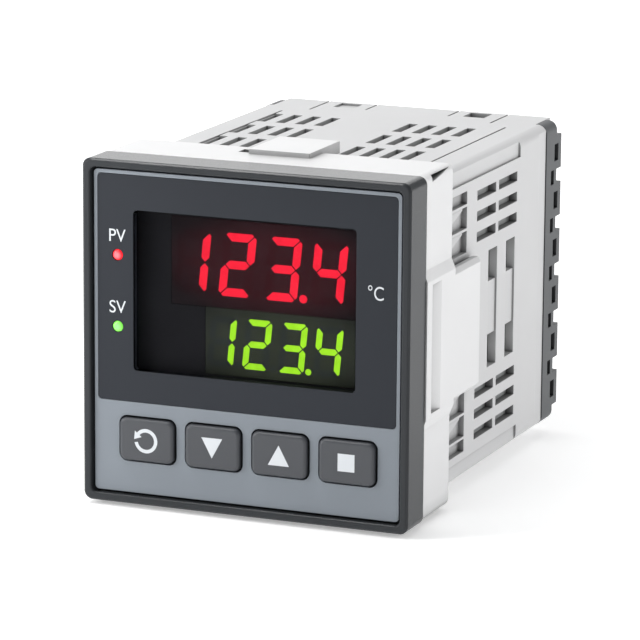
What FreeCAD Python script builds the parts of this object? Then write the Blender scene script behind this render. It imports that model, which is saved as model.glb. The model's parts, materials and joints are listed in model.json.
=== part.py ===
"""Panel-mounted temperature controller with a 48 x 48 mm front.

A dark bezel carries a fascia with two numeric displays and four push keys.  Behind it a vented
case holds the circuit boards, and a block of screw terminals closes the rear.  A white mounting
adapter slides along the case and clamps the panel against the bezel.

Every piece is drawn about the controller's own centre line: X to the right as seen from the
front, Y into the depth measured from the bezel's front face, Z up from the centre line.  The
placement of each piece then puts the origin at the middle of the footprint it stands on.
"""
import FreeCAD, Part
import math
import os

import Sketcher
from FreeCAD import Vector

# ---------------------------------------------------------------------------------------------
# Driving dimensions, in millimetres
# ---------------------------------------------------------------------------------------------
DIMENSIONS = {
    # Bezel
    "bezel_width": 48.0,
    "bezel_height": 48.0,
    "bezel_depth": 6.0,
    "bezel_corner": 1.2,
    "bezel_bevel": 0.3,
    "bezel_rim": 1.15,
    "rim_chamfer": 0.15,
    "rim_corner": 0.8,
    "bezel_ledge": 1.1,
    "case_insertion": 2.6,
    "gasket_width": 0.8,
    "gasket_thickness": 1.0,
    # Fascia plate
    "plate_recess": 0.7,
    "plate_thickness": 1.2,
    "plate_gap": 0.35,
    "mask_margin": 0.55,
    "mask_low": -9.65,
    "mask_thickness": 0.5,
    "mask_corner": 0.6,
    "seat_gap": 0.05,
    # Window and indicators
    "window_width": 32.6,
    "window_height": 22.3,
    "window_x": -0.3,
    "window_z": 5.95,
    "window_corner": 0.6,
    "window_flange": 1.0,
    "window_flange_thickness": 0.6,
    "indicator_bore": 1.5,
    "indicator_x": -19.0,
    "indicator_proud": 0.2,
    "indicator_round": 0.45,
    "pv_indicator_z": 10.75,
    "sv_indicator_z": 0.75,
    # Numeric displays
    "display_gap": 0.2,
    "display_depth": 6.1,
    "pv_width": 28.0,
    "pv_height": 12.2,
    "pv_x": 2.2,
    "pv_z": 10.35,
    "pv_digits_x": 1.3,
    "pv_digit_height": 8.8,
    "pv_digit_width": 4.85,
    "pv_stroke": 1.15,
    "pv_pitch": 6.68,
    "sv_width": 21.9,
    "sv_height": 9.3,
    "sv_x": 4.2,
    "sv_z": -0.45,
    "sv_digits_x": 3.5,
    "sv_digit_height": 7.0,
    "sv_digit_width": 3.85,
    "sv_stroke": 0.88,
    "sv_pitch": 5.2,
    "digit_lean": 5.6,
    "segment_gap": 0.08,
    "segment_depth": 0.4,
    "shade_wall": 0.8,
    "shade_margin": 1.3,
    # Keys
    "key_width": 8.1,
    "key_height": 6.0,
    "key_corner": 0.95,
    "key_gap": 0.25,
    "key_pitch": 9.86,
    "key_row_x": 0.3,
    "key_row_z": -14.85,
    "key_proud": 0.7,
    "key_round": 0.5,
    "key_flange": 0.45,
    "key_flange_thickness": 0.6,
    "key_stem": 3.0,
    "key_travel": 0.3,
    # Symbols on the keys
    "legend_depth": 0.3,
    "triangle_width": 3.1,
    "triangle_height": 2.85,
    "square_size": 2.45,
    "arrow_radius": 1.72,
    "arrow_stroke": 0.5,
    "arrow_head_width": 1.3,
    "arrow_head_length": 1.0,
    # Key switches
    "switch_size": 6.2,
    "switch_height": 3.2,
    "plunger_size": 3.2,
    "plunger_proud": 0.8,
    "plunger_depth": 0.8,
    "plunger_bore_gap": 0.1,
    # Case
    "case_width": 44.8,
    "case_height": 44.8,
    "case_corner": 1.5,
    "case_wall": 1.2,
    "case_end": 59.2,
    "corner_step": 0.3,
    "corner_step_height": 2.75,
    "corner_step_end": 47.8,
    "rear_step": 0.15,
    "rear_step_start": 56.0,
    "panel_line_depth": 0.25,
    # Side vents
    "side_slot_length": 7.7,
    "side_slot_height": 1.4,
    "side_slot_start": 30.0,
    "side_slot_gap": 1.15,
    "side_slot_pitch": 2.95,
    "side_slot_top": 17.1,
    "tall_slot_width": 3.6,
    "tall_slot_height": 4.6,
    "tall_slot_z": 6.15,
    "tall_slot_start": 34.95,
    "tall_slot_pitch": 7.35,
    "liner_thickness": 0.3,
    "liner_height": 38.0,
    "liner_start": 28.0,
    "liner_end": 48.0,
    "liner_opening_height": 18.0,
    "liner_opening_start": 34.0,
    # Catch windows for the adapter
    "catch_start": 15.5,
    "catch_end": 25.9,
    "catch_high": 18.5,
    "catch_depth": 0.8,
    "catch_slot_height": 1.8,
    "catch_window_height": 3.05,
    "catch_rib": 0.37,
    "tooth_start": 18.0,
    "tooth_end": 24.7,
    "tooth_drop": 2.5,
    "tooth_tip": 0.4,
    "tooth_height": 0.55,
    # Roof and floor
    "roof_slot_width": 1.4,
    "roof_slot_length": 7.1,
    "roof_slot_start": 24.55,
    "roof_slot_row_pitch": 10.25,
    "roof_slot_pitch": 3.0,
    "roof_slot_right": 4.4,
    "roof_slot_left": 7.7,
    "roof_line_x": 17.5,
    "roof_line_width": 0.3,
    "roof_line_end": 55.0,
    "rack_width": 6.0,
    "rack_start": 14.0,
    "rack_pitch": 1.5,
    "rack_tooth": 1.35,
    "rack_depth": 0.4,
    # Tongues over the terminal block
    "tongue_width": 41.2,
    "tongue_reach": 6.5,
    "notch_x": 10.25,
    "notch_width": 3.3,
    "notch_start": 61.2,
    "notch_length": 3.6,
    "notch_recess": 0.3,
    "inner_line_x": 6.5,
    "inner_line_start": 60.7,
    "outer_line_x": 14.2,
    "outer_line_start": 57.6,
    # Terminal block
    "terminal_rows": 6,
    "terminal_columns": 3,
    "terminal_row_pitch": 7.1,
    "terminal_column_pitch": 13.6,
    "tower_height": 5.0,
    "block_base": 2.1,
    "block_valley": 2.4,
    "block_tower": 2.0,
    "block_corner": 1.4,
    "well_bore": 4.0,
    "well_depth": 2.8,
    "well_x": 2.7,
    "entry_width": 3.4,
    "entry_height": 3.2,
    "entry_x": -3.0,
    "entry_depth": 4.7,
    "side_pocket_height": 2.5,
    "side_pocket_depth": 1.0,
    "side_pocket_lead": 1.0,
    "side_pocket_tail": 0.7,
    "valley_relief": 1.3,
    # Terminal screws and clamps
    "clamp_wall": 0.35,
    "clamp_length": 2.8,
    "screw_head": 3.6,
    "screw_head_height": 1.4,
    "screw_shank": 2.0,
    "screw_length": 3.6,
    "screw_slot": 0.5,
    "screw_slot_length": 2.6,
    "screw_slot_depth": 0.7,
    # Mounting adapter
    "adapter_clearance": 0.25,
    "adapter_wall": 0.95,
    "adapter_roof_wall": 1.3,
    "adapter_front": 6.1,
    "adapter_end": 16.8,
    "adapter_corner": 1.0,
    "arm_height": 18.4,
    "arm_end": 27.2,
    "arm_thickness": 1.3,
    "arm_gap": 0.5,
    "arm_ramp": 1.5,
    "arm_shoulder": 0.3,
    "arm_bevel": 0.6,
    "finger_slot_start": 8.0,
    "finger_slot_end": 11.5,
    "finger_slot_height": 17.8,
    "finger_slot_depth": 1.2,
    "tip_chamfer": 0.5,
    "tab_width": 9.0,
    "tab_rise": 0.65,
    "tab_start": 12.2,
    "tab_end": 23.2,
    "pawl_height": 0.35,
    "pawl_length": 2.4,
    "pawl_width": 5.0,
    "relief_start": 9.0,
    "relief_length": 7.0,
    "relief_drop": 0.9,
    "relief_depth": 1.6,
    "relief_lip": 0.3,
    "release_width": 1.8,
    "release_gap": 0.1,
    "release_start": 13.0,
    "release_length": 2.2,
    # Circuit boards
    "board_thickness": 1.6,
    "board_gap": 0.3,
    "side_board_x": 12.4,
    "side_board_height": 38.0,
    # Parts on the boards, measured from the display board's back
    "coil_reach": 11.0,
    "coil_start": 21.0,
    "coil_length": 12.0,
    "coil_height": 12.0,
    "core_reach": 9.5,
    "core_standoff": 1.5,
    "core_start": 18.0,
    "core_length": 18.0,
    "core_height": 17.0,
    "relay_reach": 10.0,
    "relay_start": 37.5,
    "relay_length": 10.0,
    "relay_height": 18.5,
    "can_start": 8.5,
    "large_can_bore": 8.0,
    "large_can_length": 12.5,
    "large_can_z": 10.0,
    "small_can_bore": 6.3,
    "small_can_length": 11.0,
    "small_can_z": -2.0,
    "processor_start": 14.0,
    "processor_size": 10.0,
    "processor_thickness": 1.4,
    "processor_z": 3.0,
    "driver_start": 12.0,
    "driver_pitch": 10.0,
    "driver_length": 5.0,
    "driver_height": 4.0,
    "driver_thickness": 1.5,
    "driver_z": -12.0,
    "header_width": 2.5,
    "header_length": 4.0,
    "header_height": 24.0,
}

doc = FreeCAD.newDocument("TemperatureController")
sheet = doc.addObject("Spreadsheet::Sheet", "Sizes")


class Size:
    """A length that knows both its present value and the sheet formula it comes from."""

    def __init__(self, formula, value):
        self.formula = formula
        self.value = value

    @staticmethod
    def of(quantity):
        if isinstance(quantity, Size):
            return quantity
        return Size(repr(float(quantity)), float(quantity))

    def __add__(self, other):
        other = Size.of(other)
        return Size(f"({self.formula} + {other.formula})", self.value + other.value)

    def __sub__(self, other):
        other = Size.of(other)
        return Size(f"({self.formula} - {other.formula})", self.value - other.value)

    def __mul__(self, other):
        other = Size.of(other)
        return Size(f"({self.formula} * {other.formula})", self.value * other.value)

    def __truediv__(self, other):
        other = Size.of(other)
        return Size(f"({self.formula} / {other.formula})", self.value / other.value)

    def __radd__(self, other):
        return Size.of(other) + self

    def __rsub__(self, other):
        return Size.of(other) - self

    def __rmul__(self, other):
        return Size.of(other) * self

    def __neg__(self):
        return Size.of(-1) * self


class Dimensions:
    """The named sizes of the sheet, read as attributes."""


def fill_sheet():
    """Write every driving dimension into the sheet and hand back the named sizes."""
    named = Dimensions()
    for row, (alias, number) in enumerate(DIMENSIONS.items(), start=1):
        sheet.set(f"A{row}", alias)
        sheet.set(f"B{row}", str(number))
        sheet.setAlias(f"B{row}", alias)
        setattr(named, alias, Size(f"Sizes.{alias}", number))
    doc.recompute()
    return named


D = fill_sheet()

# ---------------------------------------------------------------------------------------------
# Places that several pieces share
# ---------------------------------------------------------------------------------------------
plate_front = D.plate_recess
plate_back = D.plate_recess + D.plate_thickness
case_front = D.bezel_depth - D.case_insertion
block_end = D.case_end + D.block_base + D.block_valley + D.block_tower
display_front = plate_back + D.window_flange_thickness + D.display_gap
board_front = display_front + D.display_depth
board_back = board_front + D.board_thickness
key_front = plate_front - D.key_proud
switch_front = board_front - D.switch_height
plunger_front = switch_front - D.plunger_proud
adapter_outer_half = D.case_width / 2 + D.adapter_clearance + D.adapter_wall
adapter_top_half = D.case_height / 2 + D.adapter_clearance + D.adapter_roof_wall
adapter_inner_half = D.case_width / 2 + D.adapter_clearance
adapter_inner_top = D.case_height / 2 + D.adapter_clearance
arm_inner = D.case_width / 2 + D.arm_gap
arm_outer = arm_inner + D.arm_thickness
tab_outer = adapter_top_half + D.tab_rise
tab_inner = D.case_height / 2 + D.arm_gap

# The controller stands on the adapter's lower tab, with the footprint's middle at the origin.
centre_height = tab_outer
centre_depth = -(block_end + key_front) / 2

# ---------------------------------------------------------------------------------------------
# Drawing helpers
# ---------------------------------------------------------------------------------------------
PLANE_ROLES = {"x": "YZ_Plane", "y": "XZ_Plane", "z": "XY_Plane"}
NORMAL_SIGNS = {"x": 1, "y": -1, "z": 1}


def bind(thing, path, size):
    """Tie a property of a document object to its sheet formula."""
    thing.setExpression(path, Size.of(size).formula)


def seat(thing):
    """Move a piece from the centre line's frame to the frame the controller stands in."""
    bind(thing, "Placement.Base.y", centre_depth)
    bind(thing, "Placement.Base.z", centre_height)
    return thing


def new_body(label):
    body = doc.addObject("PartDesign::Body", label)
    body.Label = label
    return seat(body)


class Profile:
    """A fully constrained sketch square to one axis, at a named distance along it."""

    def __init__(self, body, name, axis, distance=0.0):
        self.axis = axis
        self.sketch = body.newObject("Sketcher::SketchObject", name)
        role = PLANE_ROLES[axis]
        plane = [item for item in body.Origin.OriginFeatures if item.Role == role][0]
        self.sketch.AttachmentSupport = [(plane, "")]
        self.sketch.MapMode = "FlatFace"
        offset = NORMAL_SIGNS[axis] * Size.of(distance)
        bind(self.sketch, "AttachmentOffset.Base.z", offset)

    def dimension(self, kind, references, size):
        size = Size.of(size)
        index = self.sketch.addConstraint(Sketcher.Constraint(kind, *references, size.value))
        label = f"size{index}"
        self.sketch.renameConstraint(index, label)
        bind(self.sketch, f"Constraints.{label}", size)

    def line(self, start, end):
        segment = Part.LineSegment(Vector(*start, 0), Vector(*end, 0))
        return self.sketch.addGeometry(segment)

    def relate(self, kind, *references):
        self.sketch.addConstraint(Sketcher.Constraint(kind, *references))

    def polygon(self, points):
        """A closed outline whose corners are each placed from the sketch origin."""
        corners = [(Size.of(u), Size.of(v)) for u, v in points]
        flat = [(u.value, v.value) for u, v in corners]
        count = len(flat)
        lines = [self.line(flat[k], flat[(k + 1) % count]) for k in range(count)]
        for k in range(count):
            self.relate("Coincident", lines[k], 2, lines[(k + 1) % count], 1)
        for k in range(count):
            self.dimension("DistanceX", (-1, 1, lines[k], 1), corners[k][0])
            self.dimension("DistanceY", (-1, 1, lines[k], 1), corners[k][1])
        return self

    def rectangle(self, left, right, low, high):
        left, right, low, high = (Size.of(edge) for edge in (left, right, low, high))
        corners = [(left.value, low.value), (right.value, low.value),
                   (right.value, high.value), (left.value, high.value)]
        lines = [self.line(corners[k], corners[(k + 1) % 4]) for k in range(4)]
        for k in range(4):
            self.relate("Coincident", lines[k], 2, lines[(k + 1) % 4], 1)
        for k, kind in enumerate(("Horizontal", "Vertical", "Horizontal", "Vertical")):
            self.relate(kind, lines[k])
        self.dimension("DistanceX", (-1, 1, lines[0], 1), left)
        self.dimension("DistanceX", (-1, 1, lines[0], 2), right)
        self.dimension("DistanceY", (-1, 1, lines[0], 1), low)
        self.dimension("DistanceY", (-1, 1, lines[2], 1), high)
        return self

    def rounded(self, left, right, low, high, radius):
        """A rectangle with four equal round corners."""
        left, right, low, high, radius = (Size.of(v) for v in (left, right, low, high, radius))
        x0, x1, z0, z1, r = (v.value for v in (left, right, low, high, radius))
        sides = [self.line((x0 + r, z0), (x1 - r, z0)), self.line((x1, z0 + r), (x1, z1 - r)),
                 self.line((x1 - r, z1), (x0 + r, z1)), self.line((x0, z1 - r), (x0, z0 + r))]
        centres = [(x1 - r, z0 + r), (x1 - r, z1 - r), (x0 + r, z1 - r), (x0 + r, z0 + r)]
        corners = []
        for quarter, centre in enumerate(centres):
            circle = Part.Circle(Vector(*centre, 0), Vector(0, 0, 1), r)
            start = math.radians(90 * quarter - 90)
            arc = Part.ArcOfCircle(circle, start, start + math.pi / 2)
            corners.append(self.sketch.addGeometry(arc))
        for k in range(4):
            self.relate("Tangent", sides[k], 2, corners[k], 1)
            self.relate("Tangent", corners[k], 2, sides[(k + 1) % 4], 1)
        for k, kind in enumerate(("Horizontal", "Vertical", "Horizontal", "Vertical")):
            self.relate(kind, sides[k])
        for k in range(1, 4):
            self.relate("Equal", corners[0], corners[k])
        self.dimension("Radius", (corners[0],), radius)
        self.dimension("DistanceX", (-1, 1, sides[3], 1), left)
        self.dimension("DistanceX", (-1, 1, sides[1], 1), right)
        self.dimension("DistanceY", (-1, 1, sides[0], 1), low)
        self.dimension("DistanceY", (-1, 1, sides[2], 1), high)
        return self

    def circle(self, across, up, diameter):
        across, up, diameter = (Size.of(v) for v in (across, up, diameter))
        ring = Part.Circle(Vector(across.value, up.value, 0), Vector(0, 0, 1), diameter.value / 2)
        index = self.sketch.addGeometry(ring)
        self.dimension("DistanceX", (-1, 1, index, 3), across)
        self.dimension("DistanceY", (-1, 1, index, 3), up)
        self.dimension("Diameter", (index,), diameter)
        return self


def centred(profile, width, height, radius=None, across=0.0, up=0.0):
    """Draw a rectangle, with or without round corners, about a centre point."""
    left = across - width / 2
    right = across + width / 2
    low = up - height / 2
    high = up + height / 2
    if radius is None:
        return profile.rectangle(left, right, low, high)
    return profile.rounded(left, right, low, high, radius)


def pad(body, name, profile, length, towards=1):
    """Add material from a profile, along its axis in the given direction."""
    feature = body.newObject("PartDesign::Pad", name)
    feature.Profile = profile.sketch
    feature.Reversed = towards != NORMAL_SIGNS[profile.axis]
    bind(feature, "Length", length)
    return feature


def pocket(body, name, profile, length, towards=1):
    """Remove material from a profile, along its axis in the given direction."""
    feature = body.newObject("PartDesign::Pocket", name)
    feature.Profile = profile.sketch
    feature.Reversed = towards == NORMAL_SIGNS[profile.axis]
    bind(feature, "Length", length)
    return feature


def dress(body, kind, name, size, chosen):
    """Fillet or chamfer the edges of the body that the chosen test accepts."""
    doc.recompute()
    base = body.Tip
    edges = [f"Edge{k + 1}" for k, edge in enumerate(base.Shape.Edges) if chosen(edge)]
    feature = body.newObject(f"PartDesign::{kind}", name)
    feature.Base = (base, edges)
    bind(feature, "Radius" if kind == "Fillet" else "Size", size)
    doc.recompute()
    return feature


def lies_at(edge, axis, place):
    """True where a whole edge lies in the plane at one place along an axis."""
    box = edge.BoundBox
    low = getattr(box, f"{axis}Min")
    high = getattr(box, f"{axis}Max")
    return abs(low - place) < 1e-4 and abs(high - place) < 1e-4


def runs_along(edge, axis):
    """True for a straight edge parallel to an axis."""
    box = edge.BoundBox
    others = [name for name in "XYZ" if name != axis]
    flat = all(getattr(box, f"{name}Length") < 1e-4 for name in others)
    return flat and getattr(box, f"{axis}Length") > 1e-3


def block(label, left, right, front, back, low, high):
    """A plain rectangular solid between named planes."""
    solid = doc.addObject("Part::Box", label)
    solid.Label = label
    bind(solid, "Length", Size.of(right) - left)
    bind(solid, "Width", Size.of(back) - front)
    bind(solid, "Height", Size.of(high) - low)
    bind(solid, "Placement.Base.x", left)
    bind(solid, "Placement.Base.y", Size.of(front) + centre_depth)
    bind(solid, "Placement.Base.z", Size.of(low) + centre_height)
    return solid


def drum(label, across, front, up, diameter, length, axis="y"):
    """A plain cylinder that starts at the given point and runs along Y or X."""
    solid = doc.addObject("Part::Cylinder", label)
    solid.Label = label
    turn = FreeCAD.Rotation(Vector(1, 0, 0), -90)
    if axis == "x":
        turn = FreeCAD.Rotation(Vector(0, 1, 0), 90)
    solid.Placement = FreeCAD.Placement(Vector(0, 0, 0), turn)
    bind(solid, "Radius", Size.of(diameter) / 2)
    bind(solid, "Height", length)
    bind(solid, "Placement.Base.x", across)
    bind(solid, "Placement.Base.y", Size.of(front) + centre_depth)
    bind(solid, "Placement.Base.z", Size.of(up) + centre_height)
    return solid


def fused(label, pieces):
    result = doc.addObject("Part::MultiFuse", label)
    result.Label = label
    result.Shapes = pieces
    return result


def grouped(label, pieces):
    """Separate solids kept side by side in one sub-part."""
    result = doc.addObject("Part::Compound", label)
    result.Label = label
    result.Links = pieces
    return result


def cut(label, base, tool):
    result = doc.addObject("Part::Cut", label)
    result.Label = label
    result.Base = base
    result.Tool = tool
    return result


def free_shape(label, shape):
    """A shape made with Part's own functions, placed like every other piece."""
    feature = doc.addObject("Part::Feature", label)
    feature.Label = label
    feature.Shape = shape
    return seat(feature)


# ---------------------------------------------------------------------------------------------
# Bezel and gasket
# ---------------------------------------------------------------------------------------------
def build_bezel():
    """The moulded frame: a narrow rim, a ledge for the fascia and a socket for the case."""
    body = new_body("front_bezel")
    outline = Profile(body, "bezel_outline", "y")
    centred(outline, D.bezel_width, D.bezel_height, D.bezel_corner)
    pad(body, "bezel_block", outline, D.bezel_depth)
    opening = Profile(body, "rim_opening", "y")
    centred(opening, D.bezel_width - 2 * D.bezel_rim, D.bezel_height - 2 * D.bezel_rim,
            D.rim_corner)
    pocket(body, "rim_cut", opening, plate_back)
    ledge_inset = 2 * (D.bezel_rim + D.bezel_ledge)
    through = Profile(body, "ledge_opening", "y")
    centred(through, D.bezel_width - ledge_inset, D.bezel_height - ledge_inset, D.rim_corner)
    pocket(body, "ledge_cut", through, D.bezel_depth)
    socket = Profile(body, "case_socket", "y", case_front)
    centred(socket, D.case_width + 4 * D.seat_gap, D.case_height + 4 * D.seat_gap,
            D.case_corner)
    pocket(body, "socket_cut", socket, D.case_insertion)
    groove = Profile(body, "gasket_step", "y", D.bezel_depth - D.gasket_thickness)
    centred(groove, D.case_width + 4 * D.seat_gap + 2 * D.gasket_width,
            D.case_height + 4 * D.seat_gap + 2 * D.gasket_width, D.case_corner)
    pocket(body, "gasket_cut", groove, D.gasket_thickness)
    half = D.bezel_width.value / 2
    rim_half = half - D.bezel_rim.value

    def outer_front(edge):
        return lies_at(edge, "Y", 0) and edge.BoundBox.DiagonalLength > 0 and \
            max(abs(edge.BoundBox.XMin), abs(edge.BoundBox.XMax),
                abs(edge.BoundBox.ZMin), abs(edge.BoundBox.ZMax)) > rim_half + 1e-3

    dress(body, "Chamfer", "front_bevel", D.bezel_bevel, outer_front)

    def inner_front(edge):
        reach = max(abs(edge.BoundBox.XMin), abs(edge.BoundBox.XMax),
                    abs(edge.BoundBox.ZMin), abs(edge.BoundBox.ZMax))
        return lies_at(edge, "Y", 0) and reach < rim_half + 1e-3

    dress(body, "Chamfer", "rim_bevel", D.rim_chamfer, inner_front)
    return body


def build_gasket():
    """The rubber ring that seals the panel, in the step behind the bezel."""
    body = new_body("panel_gasket")
    inner_width = D.case_width + 4 * D.seat_gap
    inner_height = D.case_height + 4 * D.seat_gap
    ring = Profile(body, "gasket_ring", "y", D.bezel_depth - D.gasket_thickness)
    centred(ring, inner_width + 2 * D.gasket_width - 2 * D.seat_gap,
            inner_height + 2 * D.gasket_width - 2 * D.seat_gap, D.case_corner)
    pad(body, "gasket_block", ring, D.gasket_thickness)
    hole = Profile(body, "gasket_hole", "y", D.bezel_depth - D.gasket_thickness)
    centred(hole, inner_width, inner_height, D.case_corner)
    pocket(body, "gasket_opening", hole, D.gasket_thickness)
    return body


# ---------------------------------------------------------------------------------------------
# Fascia
# ---------------------------------------------------------------------------------------------
KEY_NAMES = ("mode", "down", "up", "stop")
key_centres = [D.key_row_x + (k - 1.5) * D.key_pitch for k in range(len(KEY_NAMES))]
plate_half_width = D.bezel_width / 2 - D.bezel_rim - D.plate_gap
plate_half_height = D.bezel_height / 2 - D.bezel_rim - D.plate_gap
mask_half_width = plate_half_width - D.mask_margin
mask_high = plate_half_height - D.mask_margin
indicator_heights = {"pv_indicator": D.pv_indicator_z, "sv_indicator": D.sv_indicator_z}


def window_outline(profile, growth=0.0):
    centred(profile, D.window_width + growth, D.window_height + growth, D.window_corner,
            across=D.window_x, up=D.window_z)


def build_plate():
    """The pale fascia plate, with a seat for the dark panel and openings for window and keys."""
    body = new_body("front_plate")
    outline = Profile(body, "plate_outline", "y", plate_front)
    outline.rounded(-plate_half_width, plate_half_width, -plate_half_height, plate_half_height,
                    D.mask_corner)
    pad(body, "plate_block", outline, D.plate_thickness)
    seat_recess = Profile(body, "mask_seat", "y", plate_front)
    seat_recess.rounded(-mask_half_width - D.seat_gap, mask_half_width + D.seat_gap,
                        D.mask_low - D.seat_gap, mask_high + D.seat_gap, D.mask_corner)
    pocket(body, "mask_recess", seat_recess, D.mask_thickness)
    window = Profile(body, "window_opening", "y", plate_front)
    window_outline(window, 2 * D.seat_gap)
    pocket(body, "window_cut", window, D.plate_thickness)
    keys = Profile(body, "key_openings", "y", plate_front)
    for centre in key_centres:
        centred(keys, D.key_width + 2 * D.key_gap, D.key_height + 2 * D.key_gap,
                D.key_corner + D.key_gap, across=centre, up=D.key_row_z)
    pocket(body, "key_cuts", keys, D.plate_thickness)
    lights = Profile(body, "indicator_openings", "y", plate_front)
    for height in indicator_heights.values():
        lights.circle(D.indicator_x, height, D.indicator_bore + 2 * D.seat_gap)
    pocket(body, "indicator_cuts", lights, D.plate_thickness)
    return body


def build_mask():
    """The dark panel around the window, let into the fascia plate."""
    body = new_body("display_mask")
    outline = Profile(body, "mask_outline", "y", plate_front)
    outline.rounded(-mask_half_width, mask_half_width, D.mask_low, mask_high, D.mask_corner)
    pad(body, "mask_block", outline, D.mask_thickness)
    window = Profile(body, "mask_window", "y", plate_front)
    window_outline(window, 2 * D.seat_gap)
    pocket(body, "mask_window_cut", window, D.mask_thickness)
    lights = Profile(body, "mask_indicator_holes", "y", plate_front)
    for height in indicator_heights.values():
        lights.circle(D.indicator_x, height, D.indicator_bore + 2 * D.seat_gap)
    pocket(body, "mask_indicator_cuts", lights, D.mask_thickness)
    return body


def build_window():
    """The smoked lens: a block that fills the opening and a flange bonded behind the plate."""
    body = new_body("window_lens")
    face = Profile(body, "lens_face", "y", plate_front)
    window_outline(face)
    pad(body, "lens_block", face, D.plate_thickness)
    flange = Profile(body, "lens_flange", "y", plate_back)
    window_outline(flange, 2 * D.window_flange)
    pad(body, "lens_flange_block", flange, D.window_flange_thickness)
    return body


def build_indicator(label, height):
    """A light pipe from the display board to the fascia, with a domed front end."""
    front = plate_front - D.indicator_proud
    pipe = drum(f"{label}_pipe", D.indicator_x, front, height, D.indicator_bore,
                board_front - front)
    dome = doc.addObject("Part::Fillet", label)
    dome.Label = label
    dome.Base = pipe
    doc.recompute()
    radius = D.indicator_round.value
    rims = [k + 1 for k, edge in enumerate(pipe.Shape.Edges)
            if lies_at(edge, "Y", (front + centre_depth).value)]
    dome.Edges = [(rim, radius, radius) for rim in rims]
    return dome


# ---------------------------------------------------------------------------------------------
# Numeric displays
# ---------------------------------------------------------------------------------------------
# Segments of a digit, by name: a top, b upper right, c lower right, d bottom, e lower left,
# f upper left, g middle.
DIGIT_SEGMENTS = {"1": "bc", "2": "abged", "3": "abgcd", "4": "fgbc"}
SHOWN_DIGITS = "1234"
POINT_AFTER_DIGIT = 2


def segment_outline(name, width, height, stroke, gap):
    """Corner points of one bar about the digit's centre.

    The bars share out a rectangular ring with cropped corners, parted along its mitre lines.
    """
    half_width = width / 2
    half_height = height / 2
    mitre = gap * math.sqrt(2)
    crop = stroke / 2
    if name == "g":
        tip = half_width - crop - mitre
        inner = tip - crop
        return [(-tip, 0.0), (-inner, crop), (inner, crop), (tip, 0.0), (inner, -crop),
                (-inner, -crop)]
    if name in "ad":
        outer = half_width - crop - mitre
        tip = half_width - crop / 2 - mitre
        inner = half_width - stroke - mitre
        level = half_height - crop / 2
        points = [(-outer, half_height), (outer, half_height), (tip, level),
                  (inner, half_height - stroke), (-inner, half_height - stroke), (-tip, level)]
        return points if name == "a" else [(x, -z) for x, z in points]
    points = [(half_width, half_height - crop - mitre),
              (half_width - crop / 2, half_height - crop / 2 - mitre),
              (half_width - stroke, half_height - stroke - mitre),
              (half_width - stroke, crop + mitre), (half_width - crop, mitre),
              (half_width, crop + mitre)]
    across = 1 if name in "bc" else -1
    up = 1 if name in "bf" else -1
    return [(across * x, up * z) for x, z in points]


def bar_solid(points, centre_x, centre_z, lean, front, depth):
    """A bar of the display, sheared by the digits' lean and as deep as its light cavity."""
    corners = [Vector(centre_x + x + z * lean, front, centre_z + z) for x, z in points]
    face = Part.Face(Part.makePolygon(corners + [corners[0]]))
    return face.extrude(Vector(0, depth, 0))


def build_display(prefix, centre_x, centre_z, width, height, digits_x, digit_width,
                  digit_height, stroke, pitch):
    """One four-digit module with its lit bars, its blank bars and the body that holds them."""
    lean = math.tan(math.radians(D.digit_lean.value))
    front = display_front.value
    depth = D.segment_depth.value
    bar = stroke.value
    lit = []
    blank = []
    for position, digit in enumerate(SHOWN_DIGITS):
        middle = digits_x.value + (position - 1.5) * pitch.value
        for name in "abcdefg":
            points = segment_outline(name, digit_width.value, digit_height.value, bar,
                                     D.segment_gap.value)
            solid = bar_solid(points, middle, centre_z.value, lean, front, depth)
            shown = name in DIGIT_SEGMENTS[digit]
            (lit if shown else blank).append(solid)
        foot = -digit_height.value / 2 + bar / 2
        point_x = middle + pitch.value / 2 + foot * lean
        point = Part.makeCylinder(bar / 2, depth,
                                  Vector(point_x, front, centre_z.value + foot), Vector(0, 1, 0))
        if position == POINT_AFTER_DIGIT:
            lit.append(point)
        elif position < len(SHOWN_DIGITS) - 1:
            blank.append(point)
    lit_bars = free_shape(f"{prefix}_lit_segments", Part.makeCompound(lit))
    blank_bars = free_shape(f"{prefix}_blank_segments", Part.makeCompound(blank))
    module = block(f"{prefix}_module", centre_x - width / 2, centre_x + width / 2, display_front,
                   board_front, centre_z - height / 2, centre_z + height / 2)
    cavities = grouped(f"{prefix}_cavities", [lit_bars, blank_bars])
    return [lit_bars, blank_bars, cut(f"{prefix}_display", module, cavities)]


def build_shade():
    """The dark screen around both modules, with a skirt that stands on the display board."""
    body = new_body("display_shade")
    left = D.window_x - D.window_width / 2 - D.shade_margin
    right = D.window_x + D.window_width / 2 + D.shade_margin
    low = D.window_z - D.window_height / 2 - D.shade_margin
    high = D.window_z + D.window_height / 2 + D.shade_margin
    outline = Profile(body, "shade_outline", "y", display_front)
    outline.rectangle(left, right, low, high)
    pad(body, "shade_block", outline, D.display_depth)
    inside = Profile(body, "shade_inside", "y", display_front + D.shade_wall)
    inside.rectangle(left + D.shade_wall, right - D.shade_wall,
                     low + D.shade_wall, high - D.shade_wall)
    pocket(body, "shade_hollow", inside, D.display_depth - D.shade_wall)
    ports = Profile(body, "module_ports", "y", display_front)
    centred(ports, D.pv_width + 2 * D.seat_gap, D.pv_height + 2 * D.seat_gap,
            across=D.pv_x, up=D.pv_z)
    centred(ports, D.sv_width + 2 * D.seat_gap, D.sv_height + 2 * D.seat_gap,
            across=D.sv_x, up=D.sv_z)
    pocket(body, "module_port_cuts", ports, D.shade_wall)
    return body


# ---------------------------------------------------------------------------------------------
# Keys
# ---------------------------------------------------------------------------------------------
def prism(points, depth):
    """A solid as deep as given behind an outline of (x, z) points."""
    corners = [Vector(x, 0, z) for x, z in points]
    face = Part.Face(Part.makePolygon(corners + [corners[0]]))
    return face.extrude(Vector(0, depth, 0))


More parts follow.
